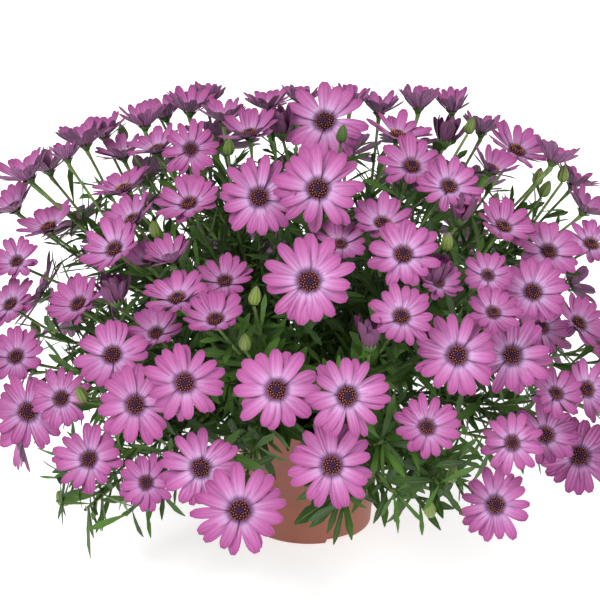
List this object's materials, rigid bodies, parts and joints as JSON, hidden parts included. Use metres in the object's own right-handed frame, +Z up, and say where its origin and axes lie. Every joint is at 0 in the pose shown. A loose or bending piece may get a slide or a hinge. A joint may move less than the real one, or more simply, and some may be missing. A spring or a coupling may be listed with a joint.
{
  "type": "potted osteospermum",
  "caption": "African daisy in full bloom: a wide dome of pink-mauve daisies, buds and narrow leaves on forked stems, rooted in compost in a round terracotta-coloured plastic pot.",
  "frame": {"origin": "on the floor under the middle of the pot's foot", "axes": "+Z up along the pot's axis; -Y towards the viewer, the side that the picture shows"},
  "size_m": [0.5458, 0.5345, 0.3863],
  "materials": {
    "terracotta plastic": "moulded plastic with a faint sheen",
    "compost": "dark, crumbly and dull: peat and wood fibre",
    "pink petals and green stems": "soft satin petals, slightly fleshy green leaves"
  },
  "bodies": {
    "root": {"pot": "terracotta plastic", "compost": "compost", "branch_01": "pink petals and green stems", "branch_02": "pink petals and green stems", "branch_03": "pink petals and green stems", "branch_04": "pink petals and green stems", "branch_05": "pink petals and green stems", "branch_06": "pink petals and green stems", "branch_07": "pink petals and green stems", "branch_08": "pink petals and green stems", "branch_09": "pink petals and green stems", "branch_10": "pink petals and green stems", "branch_11": "pink petals and green stems", "branch_12": "pink petals and green stems", "branch_13": "pink petals and green stems", "branch_14": "pink petals and green stems", "branch_15": "pink petals and green stems", "branch_16": "pink petals and green stems", "branch_17": "pink petals and green stems", "branch_18": "pink petals and green stems", "branch_19": "pink petals and green stems", "branch_20": "pink petals and green stems", "branch_21": "pink petals and green stems", "branch_22": "pink petals and green stems", "branch_23": "pink petals and green stems", "branch_24": "pink petals and green stems", "branch_25": "pink petals and green stems", "branch_26": "pink petals and green stems", "branch_27": "pink petals and green stems", "branch_28": "pink petals and green stems", "branch_29": "pink petals and green stems", "branch_30": "pink petals and green stems", "branch_31": "pink petals and green stems", "branch_32": "pink petals and green stems", "branch_33": "pink petals and green stems", "branch_34": "pink petals and green stems", "branch_35": "pink petals and green stems", "branch_36": "pink petals and green stems"}
  },
  "joints": []
}
